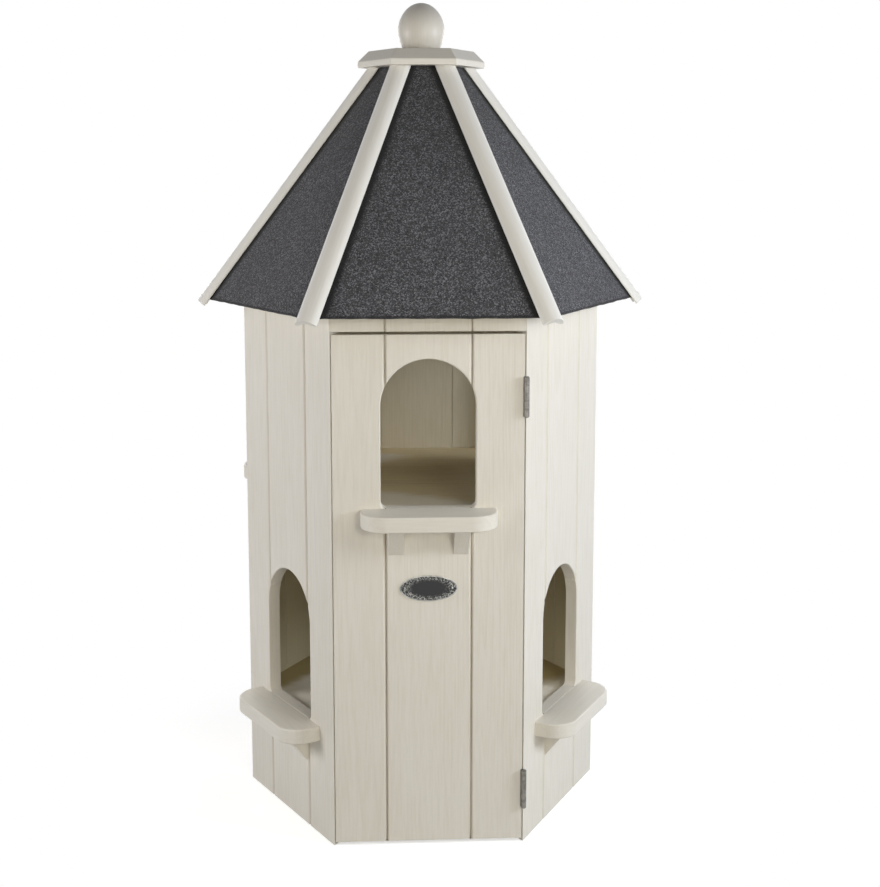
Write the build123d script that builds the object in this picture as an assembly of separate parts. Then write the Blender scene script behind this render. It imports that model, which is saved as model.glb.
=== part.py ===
"""Hexagonal wooden dovecote on a closed base, with a full-height hinged front door.

Millimetres, +Z up, origin on the ground at the centre of the hexagon, front face towards -Y.
Every wall face is modelled as the front face and then turned about Z to its own side.
"""
from build123d import *
import os
from math import acos, asin, cos, radians, sin, tan

# ---------------------------------------------------------------- body
side = 220.0                  # outer width of one wall face, which is also the corner radius
wall_thickness = 15.0         # tongue-and-groove boards
base_thickness = 12.0         # hexagonal board that closes the bottom
floor_thickness = 12.0        # hexagonal nest floors
lower_sill = 134.0            # bottom of the three lower openings
upper_sill = 401.0            # bottom of the three upper openings
floor_drop = 6.0              # nest floor below the sill of its openings
floor_door_gap = 5.0          # front edge of each floor back from the inside of the door

# ---------------------------------------------------------------- arched openings
opening_width = 108.0
opening_height = 170.0
opening_corner = 6.0          # small round in the two bottom corners

# ---------------------------------------------------------------- roof
eave_height = 622.0
eave_overhang = 46.0          # felt corner past the wall corner
roof_pitch = 57.0             # of each roof face, in degrees
felt_thickness = 2.5
deck_thickness = 9.0
hip_batten_width = 27.0
hip_batten_crown = 7.0        # above the line where two felt faces meet
hip_batten_relief = 1.8       # underside of both edges, clear of the felt
hip_batten_lip = 1.6          # upright edge, over the relief
hip_batten_overhang = 7.0     # past the eaves, along the slope

# ---------------------------------------------------------------- cap and ball
cap_radius = 77.5
cap_overhang = 21.0           # cap corner past the felt corner under it
cap_edge = 7.0
cap_chamfer_height = 13.0
cap_chamfer_taper = 42.0      # degrees in from upright
ball_radius = 28.5
ball_seat_radius = 18.0
ball_below_middle = 26.5
ball_above_middle = 31.0
ball_cuts = 5                 # straight cuts of the outline, below the widest part and again above

# ---------------------------------------------------------------- front door
door_below_eaves = 23.0       # door's upper edge under the eaves
door_gap = 3.0                # clearance round the door leaf
door_lift = 4.0               # door leaf above the ground
door_batten_thickness = 14.0
door_batten_width = 44.0
top_batten_width = 18.0       # narrower, over the opening
door_batten_inset = 17.0      # ends of the battens in from the inner corners of the body
door_batten_margin = 3.0      # top batten below the door's upper edge
floor_batten_gap = 21.0       # middle batten under the upper floor
low_batten_height = 62.0      # lower edge of the lowest batten

# ---------------------------------------------------------------- butt hinges
hinge_height = 45.0
hinge_above_bottom = 62.0     # door's lower edge to the middle of the lower hinge
hinge_below_top = 71.0        # door's upper edge to the middle of the upper hinge
hinge_leaf_thickness = 1.3
hinge_leaf_margin = 3.3       # leaf's inner edge from the inside of the wall, along the mitre
knuckle_radius = 3.0
knuckle_count = 5
knuckle_gap = 0.3
knuckle_clearance = 0.3       # knuckle to the wood beside it
pin_radius = 1.4
pin_clearance = 0.08
pin_head_radius = 2.2
pin_head_height = 0.8

# ---------------------------------------------------------------- landing ledges
ledge_width = 154.0
ledge_depth = 42.0
ledge_thickness = 18.0
ledge_corner = 30.0
ledge_chamfer = 1.6           # along the upper and lower edges
bracket_spacing = 74.0        # centre to centre of the two brackets
bracket_width = 18.0
bracket_height = 36.0
bracket_depth = 26.0
bracket_nose = 2.5            # upright front edge of the wedge

# ---------------------------------------------------------------- derived
SECTOR = 60.0                 # degrees from one face to the next
HALF_SECTOR = SECTOR / 2
HALF_COS = cos(radians(HALF_SECTOR))
HALF_TAN = tan(radians(HALF_SECTOR))
apothem = side * HALF_COS
inner_apothem = apothem - wall_thickness
eave_radius = side + eave_overhang
eave_apothem = eave_radius * HALF_COS
slope = tan(radians(roof_pitch))
apex_height = eave_height + eave_apothem * slope
felt_drop = felt_thickness / cos(radians(roof_pitch))
deck_drop = felt_drop + deck_thickness / cos(radians(roof_pitch))
cap_bottom = apex_height - (cap_radius - cap_overhang) * HALF_COS * slope
cap_top = cap_bottom + cap_edge + cap_chamfer_height
door_top = eave_height - door_below_eaves

FACES = {
    "front": 0.0,
    "front_right": 60.0,
    "back_right": 120.0,
    "back": 180.0,
    "back_left": 240.0,
    "front_left": 300.0,
}
UPPER_FACES = ("front", "back_right", "back_left")
WALLS = ("front_right", "back_right", "back", "back_left", "front_left")


def sill_of(face):
    """Height of the opening's sill on the named face."""
    return upper_sill if face in UPPER_FACES else lower_sill


def turned(shape, face):
    """Turn a shape that was modelled on the front face to the named face."""
    return shape.rotate(Axis.Z, FACES[face])


def hexagon_prism(radius, bottom, height):
    """Upright hexagonal prism whose faces line up with the walls."""
    return Pos(0, 0, bottom) * extrude(RegularPolygon(radius, 6, rotation=0), height)


def roof_profile(drop_outer, drop_inner):
    """Section in Y and Z of a roof layer on the front face, cut level at the eaves and under the cap."""
    def distance(height, drop):
        return (apex_height - drop - height) / slope

    points = [
        (-distance(eave_height, drop_outer), eave_height),
        (-distance(cap_bottom, drop_outer), cap_bottom),
        (-distance(cap_bottom, drop_inner), cap_bottom),
        (-distance(eave_height, drop_inner), eave_height),
    ]
    return make_face(Plane.YZ * Polyline(points, close=True))


def sector_prism():
    """Upright wedge of the front sixth of the plan, from the centre line outwards."""
    reach = 2 * eave_radius
    half = reach * HALF_TAN
    plan = make_face(Polyline([(0, 0), (-half, -reach), (half, -reach)], close=True))
    return extrude(plan, 2 * apex_height)


def pyramid(drop):
    """Solid six-sided pyramid under a roof surface that lies the given drop below the felt."""
    foot = -eave_height
    radius = (apex_height - drop - foot) / slope / HALF_COS
    base = Pos(0, 0, foot) * RegularPolygon(radius, 6, rotation=0)
    return loft([base, Vertex(0, 0, apex_height - drop)])


def opening_cutter(sill):
    """Arched opening, from below the landing ledge's top to the crown, through the front wall."""
    half = opening_width / 2
    spring = opening_height - half
    outline = Polyline([(-half, spring), (-half, 0), (half, 0), (half, spring)])
    arch = ThreePointArc((half, spring), (0, opening_height), (-half, spring))
    face = make_face(outline + arch)
    face = fillet(face.vertices().group_by(Axis.Y)[0], opening_corner)
    depth = 3 * wall_thickness
    placed = Plane((0, -apothem - wall_thickness, sill), x_dir=(1, 0, 0), z_dir=(0, -1, 0)) * face
    return extrude(placed, -depth)


def wall_slab(bottom, top, inset=0.0):
    """Mitred board wall on the front face; inset draws both mitred edges back, square to the mitre."""
    half_outer = apothem * HALF_TAN - inset / HALF_COS
    half_inner = inner_apothem * HALF_TAN - inset / HALF_COS
    plan = Polyline(
        [
            (-half_outer, -apothem),
            (half_outer, -apothem),
            (half_inner, -inner_apothem),
            (-half_inner, -inner_apothem),
        ],
        close=True,
    )
    return Pos(0, 0, bottom) * extrude(make_face(plan), top - bottom)


def wall(face):
    """Fixed wall with its arched opening, its top cut to the pitch of the roof deck."""
    slab = wall_slab(0, cap_bottom) & pyramid(deck_drop)
    return turned(slab - opening_cutter(sill_of(face)), face)


def header():
    """Boards over the door, up to the roof deck."""
    return wall_slab(door_top + door_gap, cap_bottom) & pyramid(deck_drop)


def door_leaf():
    """Door of full-height boards, mitred like the walls, with the front opening through it."""
    return wall_slab(door_lift, door_top, inset=door_gap) - opening_cutter(upper_sill)


def door_battens():
    """Battens across the back of the door, clear of its opening and of both floors."""
    upper_floor_underside = upper_sill - floor_drop - floor_thickness
    length = 2 * (inner_apothem * HALF_TAN - door_batten_inset)
    spans = [
        (low_batten_height, door_batten_width),
        (upper_floor_underside - floor_batten_gap - door_batten_width, door_batten_width),
        (door_top - door_batten_margin - top_batten_width, top_batten_width),
    ]
    battens = []
    for bottom, height in spans:
        middle = Pos(0, -inner_apothem + door_batten_thickness / 2, bottom + height / 2)
        batten = Box(length, door_batten_thickness, height)
        battens.append(middle * batten)
    return Compound(battens)


def floor_board(top, thickness, setback):
    """Hexagonal board inside the walls, its front edge set back from the door."""
    board = hexagon_prism(inner_apothem / HALF_COS, top - thickness, thickness)
    strip = Pos(0, -inner_apothem, top) * Box(3 * side, 2 * setback, 3 * thickness)
    return board - strip


def ledge(face):
    """Landing ledge with two large rounded corners, level with the sill."""
    half = ledge_width / 2
    corners = [(-half, 0), (half, 0), (half, -ledge_depth), (-half, -ledge_depth)]
    plan = make_face(Polyline(corners, close=True))
    plan = fillet(plan.vertices().group_by(Axis.Y)[0], ledge_corner)
    board = extrude(plan, ledge_thickness)
    free_edges = board.edges().filter_by(GeomType.LINE, reverse=True)
    free_edges += board.edges().filter_by(Axis.X).group_by(Axis.Y)[0]
    board = chamfer(free_edges, ledge_chamfer)
    return turned(Pos(0, -apothem, sill_of(face) - ledge_thickness) * board, face)


def ledge_brackets(face):
    """Pair of wedge brackets under a landing ledge."""
    top = sill_of(face) - ledge_thickness
    front = -apothem - bracket_depth
    points = [
        (-apothem, top),
        (front, top),
        (front, top - bracket_nose),
        (-apothem, top - bracket_height),
    ]
    outline = make_face(Plane.YZ * Polyline(points, close=True))
    wedge = extrude(outline, bracket_width / 2, both=True)
    pair = [Pos(x, 0, 0) * wedge for x in (-bracket_spacing / 2, bracket_spacing / 2)]
    return turned(Compound(pair), face)


def roof_layer(face, drop_outer, drop_inner):
    """One sixth of a roof layer, mitred along both hips."""
    strip = extrude(roof_profile(drop_outer, drop_inner), 2 * eave_radius, both=True)
    return turned(strip & sector_prism(), face)


def hip_batten():
    """Half-round batten along the hip on +X, its underside cut to sit on both felt faces near the hip."""
    rise = slope * HALF_COS              # of the hip line, per unit of radius
    up_slope = Vector(-1, 0, rise).normalized()
    foot = Vector(eave_radius, 0, eave_height) - up_slope * hip_batten_overhang
    section = Plane(foot, x_dir=(0, -1, 0), z_dir=up_slope)
    half = hip_batten_width / 2
    edge = hip_batten_relief - half * face_fall()
    shoulder = edge + hip_batten_lip
    outline = Polyline([(half, shoulder), (half, edge), (-half, edge), (-half, shoulder)])
    crown = ThreePointArc((-half, shoulder), (0, hip_batten_crown), (half, shoulder))
    bar = extrude(section * make_face(outline + crown), 2 * eave_radius)
    bar = split(bar, bisect_by=Plane.XY.offset(cap_bottom), keep=Keep.BOTTOM)
    return bar - pyramid(0)


def face_fall():
    """How far a felt face falls away from its hip line, per unit across the batten's section."""
    pitch = radians(roof_pitch)
    between = acos(sin(pitch) ** 2 * cos(radians(SECTOR)) + cos(pitch) ** 2)
    return tan(between / 2)


def cap():
    """Hexagonal cap board with a wide chamfer round its top."""
    edge = hexagon_prism(cap_radius, cap_bottom, cap_edge)
    rim = Pos(0, 0, cap_bottom + cap_edge) * RegularPolygon(cap_radius, 6, rotation=0)
    return edge + extrude(rim, cap_chamfer_height, taper=cap_chamfer_taper)


def ball_finial():
    """Turned ball, a little taller than wide, with a flat seat on the cap."""
    middle = cap_top + ball_below_middle
    belly_radius = tangent_arc_radius(ball_radius - ball_seat_radius, ball_below_middle)
    belly_turn = asin(ball_below_middle / belly_radius)
    points = [(0, cap_top)]
    for cut in range(ball_cuts):
        angle = -belly_turn * (1 - cut / ball_cuts)
        x = ball_radius - belly_radius + belly_radius * cos(angle)
        points.append((x, middle + belly_radius * sin(angle)))
    for cut in range(ball_cuts):
        angle = radians(90) * cut / ball_cuts
        points.append((ball_radius * cos(angle), middle + ball_above_middle * sin(angle)))
    points.append((0, middle + ball_above_middle))
    return revolve(Plane.XZ * make_face(Polyline(points, close=True)), Axis.Z)


def tangent_arc_radius(inward, down):
    """Radius of an arc that starts upright and ends this far inward and down."""
    return (down ** 2 + inward ** 2) / (2 * inward)


# ---------------------------------------------------------------- hinges
# The hinge plane is the mitre between the door and the front right wall. Depth runs from the outer
# corner of the hexagon into the wall along the mitre, and offset runs square to it, towards the door.
INWARD = Vector(-cos(radians(SECTOR)), sin(radians(SECTOR)), 0)
TOWARDS_DOOR = Vector(-sin(radians(SECTOR)), -cos(radians(SECTOR)), 0)
hinge_leaf_depth = wall_thickness / HALF_COS - hinge_leaf_margin
corner = Vector(side / 2, -apothem, 0)
axis_offset = door_gap / 2
axis_depth = -((knuckle_radius + knuckle_clearance) ** 2 - axis_offset ** 2) ** 0.5
hinge_axis = corner + INWARD * axis_depth + TOWARDS_DOOR * axis_offset
hinge_middles = (door_lift + hinge_above_bottom, door_top - hinge_below_top)


def mitre_plate(depths, offsets, heights):
    """Plate in the mitre, between two depths, two offsets from the wall's mitre and two heights."""
    frame = Plane(corner, x_dir=INWARD, z_dir=(0, 0, 1))
    sign = 1 if frame.y_dir.dot(TOWARDS_DOOR) > 0 else -1
    plan = Polyline(
        [
            (depths[0], sign * offsets[0]),
            (depths[1], sign * offsets[0]),
            (depths[1], sign * offsets[1]),
            (depths[0], sign * offsets[1]),
        ],
        close=True,
    )
    return Pos(0, 0, heights[0]) * extrude(frame * make_face(plan), heights[1] - heights[0])


def hinge_leaf(middle, offsets, knuckles, bore_radius):
    """Hinge leaf in the mitre with the given knuckles, counted from the bottom."""
    bottom = middle - hinge_height / 2
    pitch = hinge_height / knuckle_count
    clear = axis_depth + knuckle_radius + knuckle_gap
    leaf = mitre_plate((clear, hinge_leaf_depth), offsets, (bottom, bottom + hinge_height))
    for index in knuckles:
        low = bottom + index * pitch + knuckle_gap / 2
        high = bottom + (index + 1) * pitch - knuckle_gap / 2
        barrel = Pos(hinge_axis.X, hinge_axis.Y, low) * extrude(Circle(knuckle_radius), high - low)
        leaf = leaf + barrel + mitre_plate((axis_depth, clear), offsets, (low, high))
    bore = Pos(hinge_axis.X, hinge_axis.Y, bottom) * extrude(Circle(bore_radius), hinge_height)
    return leaf - bore


def hinge_pin(middle):
    """Pin through the knuckles, with a small head at each end."""
    bottom = middle - hinge_height / 2
    top = bottom + hinge_height
    place = Pos(hinge_axis.X, hinge_axis.Y, 0)
    shank = Pos(0, 0, bottom) * extrude(Circle(pin_radius), hinge_height)
    lower_head = Pos(0, 0, bottom - pin_head_height) * extrude(Circle(pin_head_radius), pin_head_height)
    upper_head = Pos(0, 0, top) * extrude(Circle(pin_head_radius), pin_head_height)
    return place * (shank + lower_head + upper_head)


def hinge_frame_leaves():
    """Leaves fixed to the wall, each with its outer and middle knuckles."""
    offsets = (0, hinge_leaf_thickness)
    leaves = [hinge_leaf(z, offsets, (0, 2, 4), pin_radius + pin_clearance) for z in hinge_middles]
    return Compound(leaves)


def hinge_door_leaves():
    """Leaves fixed to the door, each with the two knuckles between the others."""
    offsets = (door_gap - hinge_leaf_thickness, door_gap)
    leaves = [hinge_leaf(z, offsets, (1, 3), pin_radius + pin_clearance) for z in hinge_middles]
    return Compound(leaves)


# ---------------------------------------------------------------- assembly
def dovecote():
    """Every piece by its node name."""
    nodes = {
        "base_board": floor_board(base_thickness, base_thickness, floor_door_gap),
        "lower_floor": floor_board(lower_sill - floor_drop, floor_thickness, floor_door_gap),
        "upper_floor": floor_board(upper_sill - floor_drop, floor_thickness, floor_door_gap),
        "door_header": header(),
        "door_leaf": door_leaf(),
        "door_battens": door_battens(),
        "hinge_frame_leaves": hinge_frame_leaves(),
        "hinge_door_leaves": hinge_door_leaves(),
        "hinge_pins": Compound([hinge_pin(z) for z in hinge_middles]),
        "roof_cap": cap(),
        "ball_finial": ball_finial(),
    }
    for face in WALLS:
        nodes[f"wall_{face}"] = wall(face)
    for number, face in enumerate(FACES):
        nodes[f"ledge_{face}"] = ledge(face)
        nodes[f"ledge_brackets_{face}"] = ledge_brackets(face)
        nodes[f"roof_deck_{face}"] = roof_layer(face, felt_drop, deck_drop)
        nodes[f"roof_felt_{face}"] = roof_layer(face, 0, felt_drop)
        nodes[f"hip_batten_{number + 1}"] = hip_batten().rotate(Axis.Z, number * SECTOR)
    return nodes


os.makedirs("parts", exist_ok=True)
for name, shape in dovecote().items():
    export_step(shape, f"parts/{name}.step")
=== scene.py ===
import random
from math import acos, asin, atan2, copysign, cos, pi, radians, sin, tan

import bmesh
import bpy
from mathutils import Matrix, Vector, noise


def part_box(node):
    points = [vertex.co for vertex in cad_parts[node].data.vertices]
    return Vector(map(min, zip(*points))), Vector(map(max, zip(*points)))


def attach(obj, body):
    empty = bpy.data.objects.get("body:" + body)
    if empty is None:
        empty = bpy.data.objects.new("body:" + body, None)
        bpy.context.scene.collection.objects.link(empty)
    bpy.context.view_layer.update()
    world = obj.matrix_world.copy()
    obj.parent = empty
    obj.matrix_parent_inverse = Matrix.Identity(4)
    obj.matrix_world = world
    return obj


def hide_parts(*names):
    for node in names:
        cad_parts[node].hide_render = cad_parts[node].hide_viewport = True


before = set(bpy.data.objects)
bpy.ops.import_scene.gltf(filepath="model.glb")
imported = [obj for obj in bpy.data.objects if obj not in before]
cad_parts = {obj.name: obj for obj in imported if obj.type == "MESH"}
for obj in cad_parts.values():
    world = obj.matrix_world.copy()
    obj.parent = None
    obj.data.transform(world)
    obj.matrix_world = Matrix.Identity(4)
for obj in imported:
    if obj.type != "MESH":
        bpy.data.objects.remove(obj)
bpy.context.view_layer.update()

MM = 0.001
NEAR = 0.01 * MM
MERGE = 0.002 * MM
MOSTLY, SQUARELY = 0.9, 0.99  # how much of a normal lies along a direction
X, Y, Z = Vector((1, 0, 0)), Vector((0, 1, 0)), Vector((0, 0, 1))
MIDDLE = Vector((0, 0, 0))
timber_yard = random.Random(57)

# ---- sizes of the house
SECTOR = 60  # degrees
FACES = ("front", "front_right", "back_right", "back", "back_left", "front_left")
FACE_TURNS = {face: place * SECTOR for place, face in enumerate(FACES)}
FIXED_WALLS = FACES[1:]
HALF_SECTOR = radians(SECTOR / 2)
HALF_TAN = tan(HALF_SECTOR)
HALF_COS = cos(HALF_SECTOR)

header_low, header_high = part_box("door_header")
outer = -header_low.y  # centre to the outside of a wall
inner = -header_high.y
board_thickness = outer - inner
door_low, door_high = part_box("door_leaf")
door_gap = header_low.z - door_high.z
wall_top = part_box("wall_back")[1].z  # at the inside of the wall
upper_floor_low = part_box("upper_floor")[0].z

OPENING_WIDTH = 108 * MM
OPENING_HEIGHT = 170 * MM
OPENING_CORNER = 6 * MM
OPENING_EASE = 1.6 * MM  # round on the outer edge of an opening
TOOL_PROUD = 6 * MM  # how far the tool stands out of the wall

BOARD_WIDTH = 97.6 * MM  # middle board, groove to groove
SIDE_BOARD = 0.8 * BOARD_WIDTH  # middle of a side board
BOARD_MIDDLES = (-SIDE_BOARD, 0, SIDE_BOARD)
GROOVE_WIDTH = 5.4 * MM
GROOVE_DEPTH = 1.6 * MM
JOINT_WIDTH = 1.6 * MM  # open joint at the bottom of the groove
JOINT_DEPTH = 3.0 * MM
INNER_LINE_WIDTH = 0.8 * MM
INNER_LINE_DEPTH = 1.5 * MM
BOARD_EASE = 0.9 * MM
DOOR_EASE = 1.0 * MM
SNUG = 1.9 * MM  # the shown gaps beside the door are that much finer

hinge_low, hinge_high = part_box("hinge_door_leaves")
HINGE_HALF = 22.5 * MM  # half a leaf's height
HINGE_LEAF = 1.3 * MM
HINGE_DEPTH = 14.05 * MM  # to a leaf's inner edge, along the mitre
POCKET_ROOM = 0.1 * MM
POCKET_FLOOR_ROOM = 0.02 * MM
POCKET_PROUD = 8 * MM
LEAF_EASE = 0.25 * MM
hinge_middles = (hinge_low.z + HINGE_HALF, hinge_high.z - HINGE_HALF)
hinge_corner = Vector((outer * HALF_TAN, -outer, 0))
into_mitre = Vector((-0.5, HALF_COS, 0))
towards_door = Vector((-HALF_COS, -0.5, 0))

ledge_low, ledge_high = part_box("ledge_front")
ledge_thickness = ledge_high.z - ledge_low.z
LEDGE_CORNER = 30 * MM
LEDGE_ROUND = 2.0 * MM

wedge_low, wedge_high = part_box("ledge_brackets_front")
wedge_height = wedge_high.z - wedge_low.z
WEDGE_WIDTH = 18 * MM
WEDGE_NOSE = 2.5 * MM
WEDGE_EASE = 0.8 * MM
WEDGE_MIDDLES = (-37 * MM, 37 * MM)

BARE_BOARD_EASE = 0.6 * MM
DECK_EASE = 0.4 * MM

cap_low, cap_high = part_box("roof_cap")
CAP_EDGE = 7 * MM  # upright edge, below the chamfer
CAP_TAPER = radians(42)
CAP_EASE = 0.9 * MM

ball_low, ball_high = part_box("ball_finial")
BALL_SEAT = 19.5 * MM  # radius where it sits on the cap
BALL_BELOW = 22.5 * MM  # height of its widest part above the cap
BALL_STEPS_BELOW, BALL_STEPS_ABOVE = 24, 32

felt_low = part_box("roof_felt_front")[0]
roof_pitch = radians(57)
roof_slope = tan(roof_pitch)
eave_height = felt_low.z
eave_reach = -felt_low.y  # centre to the eave, square to it
apex_height = eave_height + eave_reach * roof_slope
FELT_THICKNESS = 2.5 * MM
FELT_SWELL = 0.35 * MM, 22  # height of the unevenness, and how many lumps a metre
FELT_LUMPS = 0.12 * MM, 140
FELT_RAGGED = 0.9 * MM, 60

BATTEN_HALF = 13.5 * MM
BATTEN_CROWN = 7 * MM  # heights above the hip, square to it
BATTEN_RELIEF = 1.8 * MM
BATTEN_LIP = 1.6 * MM
BATTEN_OVERHANG = 7 * MM
BATTEN_EASE = 0.7 * MM
BATTEN_STOCK = 0.5  # length before it is cut off under the cap

LEAF_SCREW = 2.9 * MM, 0.12 * MM  # radius, and how proud: the leaves close to within 0.4 mm
LEAF_SCREW_SPACING = 14.5 * MM
LEAF_SCREW_DEPTH = 7.5 * MM
BATTEN_SCREW = 3.4 * MM, 0.45 * MM
BATTEN_SCREW_PLACES = (-70 * MM, -27 * MM, 27 * MM, 70 * MM)
BATTEN_SCREW_RISES = (12 * MM, 32 * MM, 268 * MM, 288 * MM)
BATTEN_SCREW_DROP = 9 * MM  # below the top of the highest batten
SCREW_SUNK = 4  # times as deep as the head stands proud
SCREW_EDGE = 0.6  # part of that height where the crown begins
SCREW_CROWN = 0.84  # part of the radius that is flat
RECESS_LONG, RECESS_WIDE = 1.15, 0.26  # parts of the radius
RECESS_TALL = 3

PLATE_WIDTH = 66 * MM
PLATE_HEIGHT = 30 * MM
PLATE_MIDDLE = 308 * MM
PLATE_THICKNESS = 1.6 * MM
PLATE_RIM = 0.9 * MM
PLATE_SLOPE = 0.3 * MM
PLATE_SUNK = 0.35 * MM
PLATE_EASE = 0.35 * MM
PIN_RADIUS = 1.1 * MM
PIN_FLATNESS = 0.6
PIN_SUNK = 0.3 * MM
PIN_PLACES = (-0.41 * PLATE_WIDTH, 0.41 * PLATE_WIDTH)


def sill_of(face):
    """Height of the sill of the opening in a face."""
    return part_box(f"ledge_{face}")[1].z


def roof_under(distance):
    """Underside of the roof deck, the given distance from the middle of the house."""
    return wall_top + (inner - distance) * roof_slope


def body_of(face):
    """Everything on the front face swings with the door."""
    return "door" if face == "front" else "house"


def turned(degrees):
    """Turn about the middle of the house."""
    return Matrix.Rotation(radians(degrees), 3, "Z")


def quarter_turn(steps):
    """Even angles from 0 to a quarter turn."""
    return [radians(90) * step / steps for step in range(steps + 1)]


# ---- making a piece
def put_in_scene(name, data):
    """Make an object of a mesh, lamp or camera."""
    made = bpy.data.objects.new(name, data)
    bpy.context.scene.collection.objects.link(made)
    return made


def mesh_of(bm, name):
    """Turn a bmesh into a mesh."""
    mesh = bpy.data.meshes.new(name)
    bm.to_mesh(mesh)
    bm.free()
    return mesh


def finish_piece(bm, name, body, materials, stands_for=(), sharp=35):
    """Turn a bmesh into a finished piece that rides on a body of the house."""
    bmesh.ops.recalc_face_normals(bm, faces=bm.faces)
    mesh = mesh_of(bm, name)
    for polygon in mesh.polygons:
        polygon.use_smooth = True
    mesh.set_sharp_from_angle(angle=radians(sharp))
    for material in materials:
        mesh.materials.append(material)
    piece = put_in_scene(name, mesh)
    piece.modifiers.new("even_flats", "WEIGHTED_NORMAL").keep_sharp = True
    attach(piece, body)
    if stands_for:
        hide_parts(*stands_for)


def turn(bm, degrees):
    """Turn what was made on the front face about the middle of the house."""
    bmesh.ops.rotate(bm, verts=bm.verts, cent=MIDDLE, matrix=turned(degrees))


def everything(bm):
    """All corners, edges and faces."""
    return bm.verts[:] + bm.edges[:] + bm.faces[:]


def block(bm, low, high):
    """Rectangular block between two corners, added to a bmesh."""
    low, high = Vector(low), Vector(high)
    made = bmesh.ops.create_cube(bm, size=1)["verts"]
    bmesh.ops.scale(bm, vec=high - low, verts=made)
    bmesh.ops.translate(bm, vec=(low + high) / 2, verts=made)
    return made


def join(bm, corners):
    """Edges from each corner to the next."""
    for pair in zip(corners, corners[1:]):
        bm.edges.new(pair)


def push_out(bm, faces, by):
    """Extrude neighbouring faces together, and return one of the new ones."""
    edges = {e for f in faces for e in f.edges}
    made = bmesh.ops.extrude_face_region(bm, geom=[*faces, *edges])["geom"]
    verts = [g for g in made if isinstance(g, bmesh.types.BMVert)]
    bmesh.ops.translate(bm, vec=by, verts=verts)
    return next(g for g in made if isinstance(g, bmesh.types.BMFace))


def ease(bm, parts, width, segments=2, affect="EDGES"):
    """Round over some edges, or some corners of an outline."""
    bmesh.ops.bevel(
        bm,
        geom=list(parts),
        offset=width,
        offset_type="OFFSET",
        segments=segments,
        profile=0.5,
        affect=affect,
        clamp_overlap=True,
        material=-1,
    )


def sharp_edges(bm, degrees=40):
    """Edges where two faces meet at more than the given angle."""
    paired = [e for e in bm.edges if len(e.link_faces) == 2]
    return [e for e in paired if e.calc_face_angle(0) > radians(degrees)]


def flat_at(edge, axis, value):
    """Whether both ends of an edge have the given coordinate along an axis."""
    return all(abs(vert.co[axis] - value) < NEAR for vert in edge.verts)


def cut(bm, tool):
    """Take a tool's shape out of a piece, and return the rest."""
    objects = []
    for shape in (bm, tool):
        bmesh.ops.recalc_face_normals(shape, faces=shape.faces)
        objects.append(put_in_scene("working", mesh_of(shape, "working")))
    work, knife = objects
    modifier = work.modifiers.new("cut", "BOOLEAN")
    modifier.operation = "DIFFERENCE"
    modifier.solver = "EXACT"
    modifier.object = knife
    depsgraph = bpy.context.evaluated_depsgraph_get()
    left = bmesh.new()
    left.from_mesh(work.evaluated_get(depsgraph).to_mesh())
    for obj in objects:
        mesh = obj.data
        bpy.data.objects.remove(obj)
        bpy.data.meshes.remove(mesh)
    bmesh.ops.remove_doubles(left, verts=left.verts, dist=MERGE)
    bmesh.ops.dissolve_degenerate(left, edges=left.edges, dist=MERGE)
    return left


LOG_SIDEWAYS = -0.025, 0.025  # where in its log a board was sawn, in metres
LOG_DEPTH = 0.035, 0.085
LOG_LENGTH = 0, 3


def lay_grain(bm, along, across, middle, boards=(0,)):
    """Give every face its place in its board's log: across, through and along the grain."""
    through = along.cross(across)
    layer = bm.loops.layers.float_vector.new("grain")
    logs = []
    for place in boards:
        sideways = timber_yard.uniform(*LOG_SIDEWAYS)
        depth = timber_yard.uniform(*LOG_DEPTH)
        logs.append((place, Vector((sideways - place, depth, timber_yard.uniform(*LOG_LENGTH)))))
    for face in bm.faces:
        spot = (face.calc_center_median() - middle).dot(across)
        shift = min(logs, key=lambda log: abs(log[0] - spot))[1]
        for loop in face.loops:
            away = loop.vert.co - middle
            loop[layer] = Vector((away.dot(across), away.dot(through), away.dot(along))) + shift


# ---- mixing materials
def bare_tree(owner, output):
    """Clear the nodes of a material or the world, and return its tree and the socket to fill."""
    owner.use_nodes = True
    tree = owner.node_tree
    tree.nodes.clear()
    return tree, tree.nodes.new(output).inputs["Surface"]


def new_material(name):
    """Start a material, and return it with its tree and its shader."""
    material = bpy.data.materials.new(name)
    tree, surface = bare_tree(material, "ShaderNodeOutputMaterial")
    shader = tree.nodes.new("ShaderNodeBsdfPrincipled")
    plug(surface, shader.outputs[0])
    return material, tree, shader


def plug(socket, value):
    """Set a socket to a value, or link it."""
    if isinstance(value, bpy.types.NodeSocket):
        socket.id_data.links.new(value, socket)
    elif isinstance(value, tuple) and len(value) == 3 and socket.type == "RGBA":
        socket.default_value = (*value, 1)
    else:
        socket.default_value = value


def fill(node, **inputs):
    """Set or link a node's inputs by name."""
    for key, value in inputs.items():
        plug(node.inputs[key.replace("_", " ")], value)


def add(tree, kind, settings=None, **inputs):
    """Add a node with its settings, and with its inputs by name."""
    node = tree.nodes.new(kind)
    for key, value in (settings or {}).items():
        setattr(node, key, value)
    fill(node, **inputs)
    return node


def calc(tree, operation, first, second=0.0):
    """Work a number out from one or two others."""
    node = add(tree, "ShaderNodeMath", {"operation": operation})
    plug(node.inputs[0], first)
    plug(node.inputs[1], second)
    return node.outputs[0]


def times(tree, first, second):
    return calc(tree, "MULTIPLY", first, second)


def plus(tree, first, second):
    return calc(tree, "ADD", first, second)


def vector_calc(tree, operation, first, second=(0, 0, 0), output=0):
    """Work a place out from one or two others; output 1 is a length."""
    node = add(tree, "ShaderNodeVectorMath", {"operation": operation})
    plug(node.inputs[0], first)
    plug(node.inputs["Scale" if operation == "SCALE" else 1], second)
    return node.outputs[output]


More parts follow.
